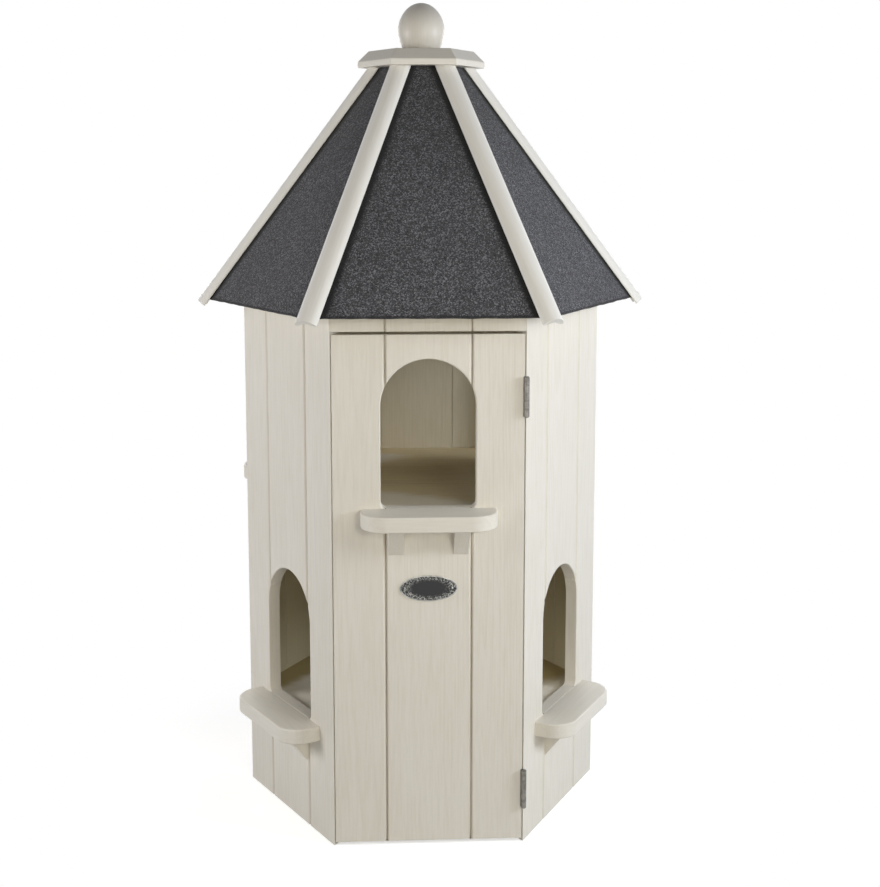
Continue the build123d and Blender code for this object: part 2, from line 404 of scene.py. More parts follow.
def place_on(tree):
    """Place on a piece, in metres from the middle of the house."""
    return add(tree, "ShaderNodeTexCoord").outputs["Object"]


def parts_of(tree, place):
    """The X, Y and Z of a place."""
    return add(tree, "ShaderNodeSeparateXYZ", Vector=place).outputs


def from_axis(tree, place):
    """Distance from the upright axis, or from the heart of a log."""
    return vector_calc(tree, "LENGTH", vector_calc(tree, "MULTIPLY", place, (1, 1, 0)), output=1)


def spread(tree, value, reach, interpolation="LINEAR"):
    """Value stretched so that one end of a reach becomes 0 and the other 1."""
    settings = {"clamp": True, "interpolation_type": interpolation}
    ends = {"From_Min": reach[0], "From_Max": reach[1]}
    return add(tree, "ShaderNodeMapRange", settings, Value=value, **ends).outputs[0]


def soft_spread(tree, value, reach):
    """Value stretched in the same way, but gently at both ends."""
    return spread(tree, value, reach, "SMOOTHSTEP")


def blend(tree, share, first, second):
    """Mix of two colours."""
    node = add(tree, "ShaderNodeMix", {"data_type": "RGBA"})
    for place, value in ((0, share), (6, first), (7, second)):
        plug(node.inputs[place], value)
    return node.outputs[2]


def tint(tree, colour, where, other, share):
    """Colour moved towards another one where a pattern says so, at most by a share."""
    return blend(tree, times(tree, where, share), colour, other)


def uneven(tree, pattern, middle, change):
    """Number that a pattern takes up and down from its middle."""
    return plus(tree, times(tree, pattern, change), middle - change / 2)


def cloudy(tree, place, per_metre, detail=2.0, rough=0.5):
    """Cloudy noise, as a number and as a colour."""
    inputs = {"Vector": place, "Scale": per_metre, "Detail": detail, "Roughness": rough}
    return add(tree, "ShaderNodeTexNoise", **inputs).outputs


def speckle(tree, place, size, detail=2.0, rough=0.5):
    """Cloudy noise with lumps of about the given size in metres."""
    return cloudy(tree, place, 1 / size, detail, rough)[0]


def drawn_out(tree, place, length):
    """Place squeezed along the grain, so that a pattern is drawn out that many times."""
    return vector_calc(tree, "MULTIPLY", place, (1, 1, 1 / length))


def along_grain(tree, grain, length, *look):
    """Noise drawn out along the grain."""
    return speckle(tree, drawn_out(tree, grain, length), *look)


def relief_of(tree, height, strength, depth):
    """Fine relief in a surface, from a pattern's height."""
    return add(tree, "ShaderNodeBump", Height=height, Strength=strength, Distance=depth).outputs[0]


# ---- wood and its stain
ONE_WAY = {"noise_dimensions": "1D"}
RING = 3.6 * MM  # a year's growth
RING_CROWDING = 7 * MM  # how far rings are drawn together or apart
CROWDING_SIZE = 9 * MM
LOG_WANDER = 9 * MM  # how far the heart of a log strays
WANDERS_PER_METRE = 16.0
WANDER_LENGTH = 9
LOG_LEAN = (radians(1.5), radians(0.7), 0)  # boards aren't sawn quite along their log
LATE_WOOD = 0.35, 1.0  # part of a ring that is late wood
YEAR_STRENGTH = -0.1, 0.9
# times drawn out along the grain, size across it, detail and roughness of a pattern
PATCHES = 6, 35 * MM
STREAKS = 16, 2.6 * MM, 3.0, 0.6
CLOUDS = 3, 60 * MM
FIBRES = 30, 0.9 * MM, 1.0
# from where to where in its range a pattern shows
PATCHES_SHOW = 0.35, 0.65
STREAKS_SHOW = 0.42, 0.80
CLOUDS_SHOW = 0.35, 0.75
PATCH_LEAST = 0.25
CLOUD_SHARE = 0.14
RING_HEIGHT, STREAK_HEIGHT, FIBRE_HEIGHT = 0.5, 0.55, 0.25
GRAIN_DEPTH = 0.8 * MM
STREAK_GLOSS = 0.2  # change of roughness from streak to streak

# grey painted as shade on the cap's chamfer and the top of the ball
TOP_SHADE_GREY = (0.37, 0.345, 0.315)
# brown painted as shade on the walls of the lower rooms
LOWER_ROOM_SHADE = (0.47, 0.41, 0.25)
# painted pool of light on the floors just inside the openings: its colour, and where it ends
POOL_OF_LIGHT = (0.82, 0.77, 0.67)
POOL_SHARE = 0.9
POOL_END = 98 * MM, 60 * MM  # inwards from the wall: where it is gone, where it is full
POOL_LAST = 112 * MM, 80 * MM
POOL_SIDE = -88 * MM, -68 * MM  # the same, sideways from the opening's middle
POOL_SKEW = 0.65  # how much sooner it ends to the right
POOL_SLANT = 0.4  # how much its side leans as it goes in
POOL_RAGGED = 20 * MM
POOL_CLOUD = 25 * MM


def light_pool(tree, degrees):
    """Painted pool of light on the floor behind the opening at the given turn,
    and behind every second opening from there: how strongly it shows at each place."""
    place = place_on(tree)
    parts = parts_of(tree, place)
    around = calc(tree, "ARCTAN2", parts["X"], times(tree, parts["Y"], -1))
    around = plus(tree, around, radians(SECTOR - degrees))
    around = calc(tree, "FLOORED_MODULO", around, radians(2 * SECTOR))
    around = calc(tree, "SUBTRACT", around, radians(SECTOR))
    reach = from_axis(tree, place)
    inward = calc(tree, "SUBTRACT", inner, times(tree, reach, calc(tree, "COSINE", around)))
    sideways = times(tree, reach, calc(tree, "SINE", around))
    cloud = times(tree, speckle(tree, place, POOL_CLOUD, detail=3.0), POOL_RAGGED)
    far = plus(tree, plus(tree, inward, cloud), times(tree, sideways, POOL_SKEW))
    side = plus(tree, calc(tree, "SUBTRACT", sideways, cloud), times(tree, inward, POOL_SLANT))
    near = times(tree, soft_spread(tree, far, POOL_END), spread(tree, inward, POOL_LAST))
    return times(tree, near, soft_spread(tree, side, POOL_SIDE))


def stained_wood(
    name, stain, rings=0.16, streaks=0.30, relief=0.30, rough=0.5, changes=None, lit_through=None
):
    """Softwood under a thin coat of stain: growth rings, streaks and fine fibres along the grain.
    changes gives another colour past some height, used here for painted shade: the heights where it
    begins and is full, the colour, and how much of it. The last argument is the turn of an opening
    with a painted pool of light on the floor behind it."""
    material, tree, shader = new_material(name)
    pale, dark = stain
    grain = add(tree, "ShaderNodeAttribute", {"attribute_name": "grain"}).outputs["Vector"]
    wander = cloudy(tree, drawn_out(tree, grain, WANDER_LENGTH), WANDERS_PER_METRE)["Color"]
    wander = vector_calc(tree, "SUBTRACT", wander, (0.5, 0.5, 0.5))
    log = vector_calc(tree, "ADD", grain, vector_calc(tree, "SCALE", wander, LOG_WANDER))
    log = add(tree, "ShaderNodeMapping", Vector=log, Rotation=LOG_LEAN).outputs[0]
    radius = from_axis(tree, log)
    crowding = {"W": radius, "Scale": 1 / CROWDING_SIZE, "Detail": 1.0}
    crowding = add(tree, "ShaderNodeTexNoise", ONE_WAY, **crowding).outputs[0]
    years = plus(tree, radius, times(tree, crowding, RING_CROWDING))
    years = calc(tree, "DIVIDE", years, RING)
    year = calc(tree, "FLOOR", years)
    strength = add(tree, "ShaderNodeTexWhiteNoise", ONE_WAY, W=year).outputs["Value"]
    late = soft_spread(tree, calc(tree, "FRACT", years), LATE_WOOD)
    late = times(tree, late, spread(tree, strength, YEAR_STRENGTH))
    patches = soft_spread(tree, along_grain(tree, grain, *PATCHES), PATCHES_SHOW)
    patches = plus(tree, times(tree, patches, 1 - PATCH_LEAST), PATCH_LEAST)
    late = times(tree, late, patches)
    streak = along_grain(tree, grain, *STREAKS)
    cloud = along_grain(tree, grain, *CLOUDS)
    fibre = along_grain(tree, grain, *FIBRES)
    colour = tint(tree, pale, late, dark, rings)
    colour = tint(tree, colour, spread(tree, streak, STREAKS_SHOW), dark, streaks)
    colour = tint(tree, colour, spread(tree, cloud, CLOUDS_SHOW), dark, CLOUD_SHARE)
    if changes:
        heights, other, share = changes
        up = parts_of(tree, place_on(tree))["Z"]
        colour = tint(tree, colour, soft_spread(tree, up, heights), other, share)
    # painted pool of light on the floor behind the openings
    if lit_through is not None:
        colour = tint(tree, colour, light_pool(tree, lit_through), POOL_OF_LIGHT, POOL_SHARE)
    height = times(tree, late, RING_HEIGHT)
    for part, amount in ((streak, STREAK_HEIGHT), (fibre, FIBRE_HEIGHT)):
        height = plus(tree, height, times(tree, part, amount))
    fill(
        shader,
        Base_Color=colour,
        Normal=relief_of(tree, height, relief, GRAIN_DEPTH),
        Roughness=uneven(tree, streak, rough, STREAK_GLOSS),
        IOR=1.46,
    )
    return material


# each stain has its colour between the streaks, and in them
WHITE_STAIN = (0.745, 0.710, 0.640), (0.575, 0.515, 0.415)
# darker in the grooves, for dirt and painted shade
GROOVE_DIRT_AND_SHADE = (0.705, 0.660, 0.580), (0.530, 0.465, 0.360)
BATTEN_STAIN = (0.770, 0.750, 0.705), (0.595, 0.550, 0.475)
TURNED_STAIN = (0.690, 0.650, 0.580), (0.520, 0.465, 0.380)
THIN_STAIN = (0.670, 0.608, 0.460), (0.540, 0.455, 0.300)
FLOOR_STAIN = (0.780, 0.665, 0.415), (0.500, 0.405, 0.250)
# bare wood with painted shade, for the lower floor and the base board
SHADED_BARE_FLOOR = (0.400, 0.320, 0.150), (0.340, 0.265, 0.120)

moulded = {"rings": 0.14, "streaks": 0.22, "relief": 0.15}
planed = {"rings": 0.12, "streaks": 0.2, "relief": 0.12}
lathe_turned = {"rings": 0.14, "streaks": 0.16, "relief": 0.06, "rough": 0.42}
rough_sawn = {"rings": 0.45, "streaks": 0.4, "rough": 0.62}

chamfer_foot = cap_low.z + CAP_EDGE
# painted shade: the cap's chamfer and the ball's top are greyed, darker where little light falls on
# them
cap_top_shade = (chamfer_foot - 0.18 * MM, chamfer_foot + 1.12 * MM), TOP_SHADE_GREY, 0.45
ball_top_shade = (ball_high.z - 38.9 * MM, ball_high.z - 0.9 * MM), TOP_SHADE_GREY, 0.75
# painted shade: the walls of the lower rooms, below the upper floor, darkened to brown
shade_below_floor = (upper_floor_low + 9 * MM, upper_floor_low + 3 * MM), LOWER_ROOM_SHADE, 0.85

board_stain = stained_wood("board_stain", WHITE_STAIN)
groove_dirt_and_shade = stained_wood("groove_dirt_and_shade", GROOVE_DIRT_AND_SHADE)
moulding_stain = stained_wood("moulding_stain", WHITE_STAIN, **moulded)
batten_stain = stained_wood("batten_stain", BATTEN_STAIN, **{**moulded, "streaks": 0.18})
cap_stain = stained_wood("cap_stain", WHITE_STAIN, changes=cap_top_shade, **planed)
turned_stain = stained_wood("turned_stain", TURNED_STAIN, changes=ball_top_shade, **lathe_turned)
inner_stain = stained_wood("inner_stain", THIN_STAIN, **rough_sawn)
room_stain = stained_wood("room_stain", THIN_STAIN, changes=shade_below_floor, **rough_sawn)
# both floors carry a painted pool of light behind their openings
floor_stain = stained_wood("floor_stain", FLOOR_STAIN, lit_through=FACE_TURNS["front"], **rough_sawn)
lower_stain = stained_wood("lower_stain", SHADED_BARE_FLOOR, lit_through=FACE_TURNS["front_right"], **rough_sawn)
shaded_bare_floor = stained_wood("shaded_bare_floor", SHADED_BARE_FLOOR, **rough_sawn)


# ---- felt, metal and enamel
FELT_MOTTLE = (0.041, 0.040, 0.044), (0.090, 0.089, 0.096)
PALE_GRAIN = (0.25, 0.25, 0.275)
DARK_GRAIN = (0.018, 0.018, 0.020)
FELT_CLOUD = (0.03, 0.03, 0.033), 0.22  # colour, and at most how much of it
# black painted as shadow on the felt beside the hip battens
BATTEN_SHADOW_BLACK = (0.004, 0.004, 0.004), 0.95
# bare bitumen and painted shade along the eave
EAVE_BITUMEN_AND_SHADE = (0.006, 0.006, 0.006), 0.75
# dark painted as shade on the felt towards the cap
FELT_SHADE_NEAR_CAP = (0.015, 0.014, 0.013), 0.32
GRAINS_PER_METRE = 900.0
GRAIN_HEIGHT = 0.6
MOTTLE_SHOWS = 0.34, 0.68
PALE_GRAINS = 0.66, 1.0
DARK_GRAINS = 0.30, 0.05
FELT_CLOUDS_SHOW = 0.35, 0.7
BATTEN_SHADOW_STRIP = 24 * MM, 17.5 * MM  # from the middle of the hip
EAVE_STRIP = eave_height + 5 * MM, eave_height + 3 * MM
CAP_SHADE_HEIGHTS = cap_low.z - 181.4 * MM, cap_low.z - 21.4 * MM
STRIP_RAGGED = 4 * MM


def mineral_felt(name):
    """Roofing felt: dark grit with pale grains, a painted shadow beside the hip battens, bare
    bitumen and painted shade along the eave, and painted shade towards the cap."""
    material, tree, shader = new_material(name)
    place = place_on(tree)
    parts = parts_of(tree, place)
    grit = add(tree, "ShaderNodeTexVoronoi", Vector=place, Scale=GRAINS_PER_METRE).outputs["Color"]
    grain = add(tree, "ShaderNodeSeparateColor", Color=grit).outputs[0]
    mottle = speckle(tree, place, size=2.0 * MM, detail=3.0, rough=0.7)
    cloud = speckle(tree, place, size=60 * MM, detail=3.0)
    colour = blend(tree, spread(tree, mottle, MOTTLE_SHOWS), *FELT_MOTTLE)
    colour = blend(tree, spread(tree, grain, PALE_GRAINS), colour, PALE_GRAIN)
    colour = blend(tree, spread(tree, grain, DARK_GRAINS), colour, DARK_GRAIN)
    colour = tint(tree, colour, spread(tree, cloud, FELT_CLOUDS_SHOW), *FELT_CLOUD)
    around = calc(tree, "ARCTAN2", parts["X"], parts["Y"])
    around = calc(tree, "PINGPONG", around, HALF_SECTOR)
    from_hip = times(tree, from_axis(tree, place), calc(tree, "SUBTRACT", HALF_SECTOR, around))
    ragged = times(tree, mottle, STRIP_RAGGED)
    batten_shadow = soft_spread(tree, plus(tree, from_hip, ragged), BATTEN_SHADOW_STRIP)
    at_eave = soft_spread(tree, plus(tree, parts["Z"], ragged), EAVE_STRIP)
    near_cap = soft_spread(tree, parts["Z"], CAP_SHADE_HEIGHTS)
    # painted shadow beside the hip battens
    colour = tint(tree, colour, batten_shadow, *BATTEN_SHADOW_BLACK)
    # bare bitumen and painted shade along the eave
    colour = tint(tree, colour, at_eave, *EAVE_BITUMEN_AND_SHADE)
    # painted shade, darker towards the cap
    colour = tint(tree, colour, near_cap, *FELT_SHADE_NEAR_CAP)
    height = plus(tree, times(tree, grain, GRAIN_HEIGHT), mottle)
    fill(
        shader,
        Base_Color=colour,
        Normal=relief_of(tree, height, strength=0.7, depth=0.5 * MM),
        Roughness=0.95,
        Specular_IOR_Level=0.25,
        Sheen_Weight=0.09,
        Sheen_Roughness=0.6,
    )
    return material


BRUSHING = 8, 0.6 * MM  # times drawn out, and size
DULL_PATCHES_SHOW = 0.4, 0.75


def sheet_metal(name, colour, dull, rough):
    """Metal with faint brushing and dull patches."""
    material, tree, shader = new_material(name)
    place = place_on(tree)
    brush = along_grain(tree, place, *BRUSHING)
    patch = speckle(tree, place, size=5 * MM, detail=3.0)
    fill(
        shader,
        Base_Color=blend(tree, spread(tree, patch, DULL_PATCHES_SHOW), colour, dull),
        Normal=relief_of(tree, brush, strength=0.2, depth=0.1 * MM),
        Roughness=uneven(tree, patch, rough, change=0.3),
        Metallic=1.0,
    )
    return material


ENAMEL_BLACK = (0.016, 0.017, 0.018)
ENAMEL_RUBBED = (0.42, 0.42, 0.40)
SPECKS_SHOW = 0.50, 0.60
RUBBED_FROM = 0.52, 0.84  # from the plate's middle out to its rim


def worn_enamel(name):
    """Black enamel on a silver plate, rubbed through in specks near its rim."""
    material, tree, shader = new_material(name)
    place = place_on(tree)
    oval = vector_calc(tree, "SUBTRACT", place, (0, 0, PLATE_MIDDLE))
    oval = vector_calc(tree, "MULTIPLY", oval, (2 / PLATE_WIDTH, 0, 2 / PLATE_HEIGHT))
    from_middle = vector_calc(tree, "LENGTH", oval, output=1)
    specks = speckle(tree, place, size=1.3 * MM, rough=0.7)
    worn = spread(tree, specks, SPECKS_SHOW)
    worn = times(tree, worn, soft_spread(tree, from_middle, RUBBED_FROM))
    fill(
        shader,
        Base_Color=blend(tree, worn, ENAMEL_BLACK, ENAMEL_RUBBED),
        Roughness=uneven(tree, specks, middle=0.4, change=0.3),
        Metallic=0.3,
    )
    return material


roof_felt = mineral_felt("roof_felt")
hinge_metal = sheet_metal("hinge_metal", (0.225, 0.215, 0.195), (0.12, 0.11, 0.10), rough=0.45)
screw_steel = sheet_metal("screw_steel", (0.62, 0.61, 0.58), (0.42, 0.41, 0.39), rough=0.38)
rim_silver = sheet_metal("rim_silver", (0.46, 0.46, 0.44), (0.16, 0.16, 0.15), rough=0.42)
plate_enamel = worn_enamel("plate_enamel")


# ---- board walls
OUTSIDE, INSIDE, GROOVE = range(3)  # places of a board's materials


def sink_groove(bm, middle):
    """V groove with an open joint at its bottom outside, and a fine joint line inside."""
    half_widths = [width / 2 for width in (GROOVE_WIDTH, JOINT_WIDTH, INNER_LINE_WIDTH)]
    for offset in [-half for half in half_widths] + half_widths[::-1]:
        place = (middle + offset, 0, 0)
        bmesh.ops.bisect_plane(bm, geom=everything(bm), plane_co=place, plane_no=X, dist=0.1 * NEAR)
    for vert in bm.verts:
        if abs(vert.co.x - middle) < JOINT_WIDTH / 2 + NEAR and vert.co.y < -outer + MM:
            vert.co.y += GROOVE_DEPTH
    bm.normal_update()
    joints = (1, JOINT_WIDTH, JOINT_DEPTH), (-1, INNER_LINE_WIDTH, INNER_LINE_DEPTH)
    for inward, width, depth in joints:
        side = [f for f in bm.faces if f.normal.y * inward < -MOSTLY]
        reach = width / 2 + NEAR
        strip = [f for f in side if abs(f.calc_center_median().x - middle) < reach]
        push_out(bm, strip, (0, inward * depth, 0))
        bm.normal_update()


def board_slab(low, high, inset=0.0, follow_roof=False, edge=BOARD_EASE):
    """Three tongued boards as one mitred slab on the front face, grooved outside."""
    bm = bmesh.new()
    half = outer * HALF_TAN - inset / HALF_COS
    block(bm, (-half, -outer, low), (half, -inner, high))
    for vert in bm.verts:
        if vert.co.y > -outer + MM:
            vert.co.x -= copysign(board_thickness * HALF_TAN, vert.co.x)
    for middle in (-BOARD_WIDTH / 2, BOARD_WIDTH / 2):
        sink_groove(bm, middle)
    if follow_roof:
        for vert in bm.verts:
            if vert.co.z > high - MM:
                vert.co.z = roof_under(-vert.co.y)
    outside = [e for e in bm.edges if flat_at(e, 1, -outer)]
    corners = [e for e in outside if flat_at(e, 0, half) or flat_at(e, 0, -half)]
    rails = [e for e in outside if flat_at(e, 2, low) or (not follow_roof and flat_at(e, 2, high))]
    ease(bm, corners + rails, edge)
    return bm


def arch_tool(sill):
    """Tool for an arched opening in the front face, which also eases its outer edge."""
    bm = bmesh.new()
    half = OPENING_WIDTH / 2
    inside = -inner + TOOL_PROUD
    spring = sill + OPENING_HEIGHT - half
    start = bm.verts.new((half, inside, spring))
    centre = (0, inside, spring)
    bmesh.ops.spin(bm, geom=[start], cent=centre, axis=-Y, angle=pi, steps=40, use_merge=False)
    ends = [v for v in bm.verts if len(v.link_edges) == 1]
    left, right = sorted(ends, key=lambda v: v.co.x)
    low_left = bm.verts.new((-half, inside, sill))
    low_right = bm.verts.new((half, inside, sill))
    join(bm, [left, low_left, low_right, right])
    bmesh.ops.contextual_create(bm, geom=bm.edges[:])
    ease(bm, [low_left, low_right], OPENING_CORNER, segments=6, affect="VERTICES")
    end = bm.faces[:][0]
    rings = []
    for angle in quarter_turn(4):
        depth = -outer + OPENING_EASE * (1 - sin(angle))
        rings.append((depth, OPENING_EASE * (1 - cos(angle))))
    rings.append((-outer - TOOL_PROUD, OPENING_EASE))
    depth, grown = inside, 0.0
    for y, growth in rings:
        end = push_out(bm, [end], (0, y - depth, 0))
        wider, taller = [
            (size / 2 + growth) / (size / 2 + grown) for size in (OPENING_WIDTH, OPENING_HEIGHT)
        ]
        space = Matrix.Translation((0, -y, -sill - OPENING_HEIGHT / 2))
        bmesh.ops.scale(bm, vec=(wider, 1, taller), verts=end.verts[:], space=space)
        depth, grown = y, growth
    return bm


def finish_boards(bm, name, body, node, degrees=0):
    """White stain outside, thin stain inside, a darker stain in the grooves for dirt and painted
    shade, and a log a board.
    """
    for face in bm.faces:
        centre = face.calc_center_median()
        beside = abs(abs(centre.x) - BOARD_WIDTH / 2) < GROOVE_WIDTH / 2
        in_groove = beside and NEAR < centre.y + outer < GROOVE_DEPTH + JOINT_DEPTH
        looks_in = all(v.co.y > -inner - INNER_LINE_DEPTH - NEAR for v in face.verts)
        is_edge = abs(face.normal.x) >= SQUARELY or abs(face.normal.z) >= MOSTLY
        face.material_index = OUTSIDE
        if in_groove:
            face.material_index = GROOVE
        elif looks_in and not is_edge:
            face.material_index = INSIDE
    lay_grain(bm, Z, X, Vector((0, -outer, 0)), BOARD_MIDDLES)
    turn(bm, degrees)
    inside = inner_stain if body == "door" else room_stain
    finish_piece(bm, name, body, [board_stain, inside, groove_dirt_and_shade], [node])


def hinge_pocket(bm, middle):
    """Pocket in the door's edge that a leaf is let into, added to a tool."""
    low = (-POCKET_PROUD, 0, -HINGE_HALF - POCKET_ROOM)
    high = (HINGE_DEPTH + POCKET_ROOM, door_gap + POCKET_FLOOR_ROOM, HINGE_HALF + POCKET_ROOM)
    for vert in block(bm, low, high):
        inwards, sideways, up = vert.co
        vert.co = hinge_corner + into_mitre * inwards + towards_door * sideways + Z * (middle + up)


def front_door():
    """The door's boards, with its opening and the pockets for the hinges."""
    slab = board_slab(door_low.z, door_high.z, inset=door_gap - SNUG, edge=DOOR_EASE)
    slab = cut(slab, arch_tool(sill_of("front")))
    pockets = bmesh.new()
    for middle in hinge_middles:
        hinge_pocket(pockets, middle)
    finish_boards(cut(slab, pockets), "boards_door", "door", "door_leaf")


for face in FIXED_WALLS:
    slab = cut(board_slab(0, wall_top, follow_roof=True), arch_tool(sill_of(face)))
    finish_boards(slab, f"boards_{face}", "house", f"wall_{face}", FACE_TURNS[face])
slab = board_slab(header_low.z, wall_top, follow_roof=True)
finish_boards(slab, "boards_header", "house", "door_header")
front_door()


# ---- landing ledges
def finish_moulding(bm, name, face, node):
    """Turn a moulding to its face of the house, and finish it."""
    turn(bm, FACE_TURNS[face])
    finish_piece(bm, name, body_of(face), [moulding_stain], [node])


def landing_ledge(face):
    """Ledge with two large round corners and softened edges."""
    top = sill_of(face)
    bottom = top - ledge_thickness
    bm = bmesh.new()
    block(bm, (ledge_low.x, ledge_low.y, bottom), (ledge_high.x, ledge_high.y, top))
    corners = [e for e in bm.edges if flat_at(e, 1, ledge_low.y)]
    corners = [e for e in corners if not flat_at(e, 2, top) and not flat_at(e, 2, bottom)]
    ease(bm, corners, LEDGE_CORNER, segments=16)
    rim = [e for e in bm.edges if flat_at(e, 2, top) or flat_at(e, 2, bottom)]
    ease(bm, [e for e in rim if not flat_at(e, 1, ledge_high.y)], LEDGE_ROUND, segments=3)
    lay_grain(bm, X, Y, Vector((0, ledge_low.y, bottom)))
    finish_moulding(bm, f"landing_{face}", face, f"ledge_{face}")


def ledge_wedges(face):
    """The two wedge brackets under a ledge."""
    top = sill_of(face) - ledge_thickness
    bottom = top - wedge_height
    half = WEDGE_WIDTH / 2
    bm = bmesh.new()
    for x in WEDGE_MIDDLES:
        for vert in block(bm, (x - half, wedge_low.y, bottom), (x + half, wedge_high.y, top)):
            if vert.co.y < wedge_low.y + MM and vert.co.z < bottom + MM:
                vert.co.z = top - WEDGE_NOSE
    free = [e for e in bm.edges if not flat_at(e, 1, wedge_high.y) and not flat_at(e, 2, top)]
    ease(bm, free, WEDGE_EASE)
    lay_grain(bm, Z, X, Vector((0, wedge_low.y, bottom)), WEDGE_MIDDLES)
    finish_moulding(bm, f"wedges_{face}", face, f"ledge_brackets_{face}")


for face in FACES:
    landing_ledge(face)
    ledge_wedges(face)


# ---- plain boards
def eased_copy(node, name, body, material, along, across, width=BARE_BOARD_EASE):
    """Copy of a CAD part with its edges eased."""
    bm = bmesh.new()
    bm.from_mesh(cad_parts[node].data)
    bmesh.ops.remove_doubles(bm, verts=bm.verts, dist=NEAR)
    bmesh.ops.dissolve_limit(bm, angle_limit=radians(0.5), verts=bm.verts, edges=bm.edges)
    bmesh.ops.recalc_face_normals(bm, faces=bm.faces)
    ease(bm, sharp_edges(bm), width)
    low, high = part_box(node)
    lay_grain(bm, along, across, (low + high) / 2)
    finish_piece(bm, name, body, [material], [node])


def roof_deck(face):
    """Boards under the felt, laid level."""
    node, name = f"roof_deck_{face}", f"roof_boards_{face}"
    level = turned(FACE_TURNS[face]) @ X
    up_slope = turned(FACE_TURNS[face]) @ Vector((0, cos(roof_pitch), sin(roof_pitch)))
    eased_copy(node, name, "house", inner_stain, level, up_slope, DECK_EASE)


floors = {"base_board": shaded_bare_floor, "lower_floor": lower_stain, "upper_floor": floor_stain}
for node, material in floors.items():
    eased_copy(node, f"{node}_eased", "house", material, X, Y)
eased_copy("door_battens", "door_battens_eased", "door", inner_stain, X, Z)
for face in FACES:
    roof_deck(face)


# ---- roof
def roof_sheet(face):
    """Felt on one roof face: a thin sheet with a slightly uneven surface and eave."""
    bm = bmesh.new()
    top_reach = (apex_height - cap_low.z) / roof_slope
    bmesh.ops.create_grid(bm, x_segments=60, y_segments=56, size=0.5)
    outward = Vector((0, -sin(roof_pitch), cos(roof_pitch)))
    own_place = Vector((FACE_TURNS[face], 0, 0))
    for vert in bm.verts:
        across, up = vert.co.x * 2, vert.co.y + 0.5
        reach = eave_reach + (top_reach - eave_reach) * up
        spot = Vector((across * reach * HALF_TAN, -reach, apex_height - reach * roof_slope))
        swell, lumps, ragged = [
            height * noise.noise(spot * per_metre + own_place)
            for height, per_metre in (FELT_SWELL, FELT_LUMPS, FELT_RAGGED)
        ]
        vert.co = spot + outward * (swell + lumps)
        if up < MM:
            vert.co.z += ragged
    bm.normal_update()
    bmesh.ops.solidify(bm, geom=bm.faces[:], thickness=FELT_THICKNESS)
    turn(bm, FACE_TURNS[face])
    node = f"roof_felt_{face}"
    finish_piece(bm, f"felt_{face}", "house", [roof_felt], [node], sharp=50)


def hip_batten(number):
    """Half-round batten on a hip, made on the hip of +X and turned to its own."""
    rise = roof_slope * HALF_COS
    up = Vector((-1, 0, rise)).normalized()
    out = Vector((rise, 0, 1)).normalized()
    foot = Vector((eave_reach / HALF_COS, 0, eave_height)) - up * BATTEN_OVERHANG
    fold = acos(sin(roof_pitch) ** 2 * cos(2 * HALF_SECTOR) + cos(roof_pitch) ** 2)
    fall = tan(fold / 2)  # of both roof faces, away from the hip
    edge = BATTEN_RELIEF - BATTEN_HALF * fall
    shoulder = edge + BATTEN_LIP
    arch = BATTEN_CROWN - shoulder
    radius = (BATTEN_HALF ** 2 + arch ** 2) / (2 * arch)
    sweep = 2 * asin(BATTEN_HALF / radius)
    centre = foot + out * (BATTEN_CROWN - radius)
    bm = bmesh.new()
    first = bm.verts.new(foot - Y * BATTEN_HALF + out * shoulder)
    bmesh.ops.spin(bm, geom=[first], cent=centre, axis=up, angle=sweep, steps=14, use_merge=False)
    last = next(v for v in bm.verts if len(v.link_edges) == 1 and v is not first)
    contact = -edge / fall
    underside = (BATTEN_HALF, edge), (contact, edge), (0, 0), (-contact, edge), (-BATTEN_HALF, edge)
    path = [last] + [bm.verts.new(foot + Y * across + out * height) for across, height in underside]
    join(bm, [*path, first])
    section = bmesh.ops.contextual_create(bm, geom=bm.edges[:])["faces"]
    push_out(bm, section, up * BATTEN_STOCK)
    end = Z * cap_low.z
    bmesh.ops.bisect_plane(bm, geom=everything(bm), plane_co=end, plane_no=Z, clear_outer=True)
    bmesh.ops.holes_fill(bm, edges=[e for e in bm.edges if e.is_boundary], sides=0)
    bmesh.ops.recalc_face_normals(bm, faces=bm.faces)
    end_rim = {e for f in bm.faces if f.normal.dot(up) < -SQUARELY for e in f.edges}
    sides = [e for e in bm.edges if all(abs(v.co.y) > BATTEN_HALF - MM for v in e.verts)]
    lengthways = set(sharp_edges(bm, degrees=25)) & set(sides)
    ease(bm, end_rim | lengthways, BATTEN_EASE)
    lay_grain(bm, up, Y, foot)
    turn(bm, (number - 1) * SECTOR)
    node = f"hip_batten_{number}"
    finish_piece(bm, f"batten_{number}", "house", [batten_stain], [node])


def roof_cap():
    """Six-sided cap with a wide chamfer."""
    radius = cap_high.x
    chamfer = cap_high.z - chamfer_foot
    bm = bmesh.new()
    bmesh.ops.create_circle(bm, cap_ends=True, segments=len(FACES), radius=radius)
    bm.verts.ensure_lookup_table()
    corner = bm.verts[0].co
    square_up = Matrix.Rotation(-atan2(corner.y, corner.x), 3, "Z")
    bmesh.ops.rotate(bm, verts=bm.verts, cent=MIDDLE, matrix=square_up)
    bmesh.ops.translate(bm, vec=(0, 0, cap_low.z), verts=bm.verts)
    top = push_out(bm, bm.faces[:], (0, 0, CAP_EDGE))
    top = push_out(bm, [top], (0, 0, chamfer))
    share = 1 - chamfer * tan(CAP_TAPER) / (radius * HALF_COS)
    bmesh.ops.scale(bm, vec=(share, share, 1), verts=top.verts[:])
    bmesh.ops.recalc_face_normals(bm, faces=bm.faces)
    ease(bm, sharp_edges(bm, degrees=20), CAP_EASE, segments=3)
    lay_grain(bm, X, Y, cap_low)
    finish_piece(bm, "cap_board", "house", [cap_stain], ["roof_cap"])


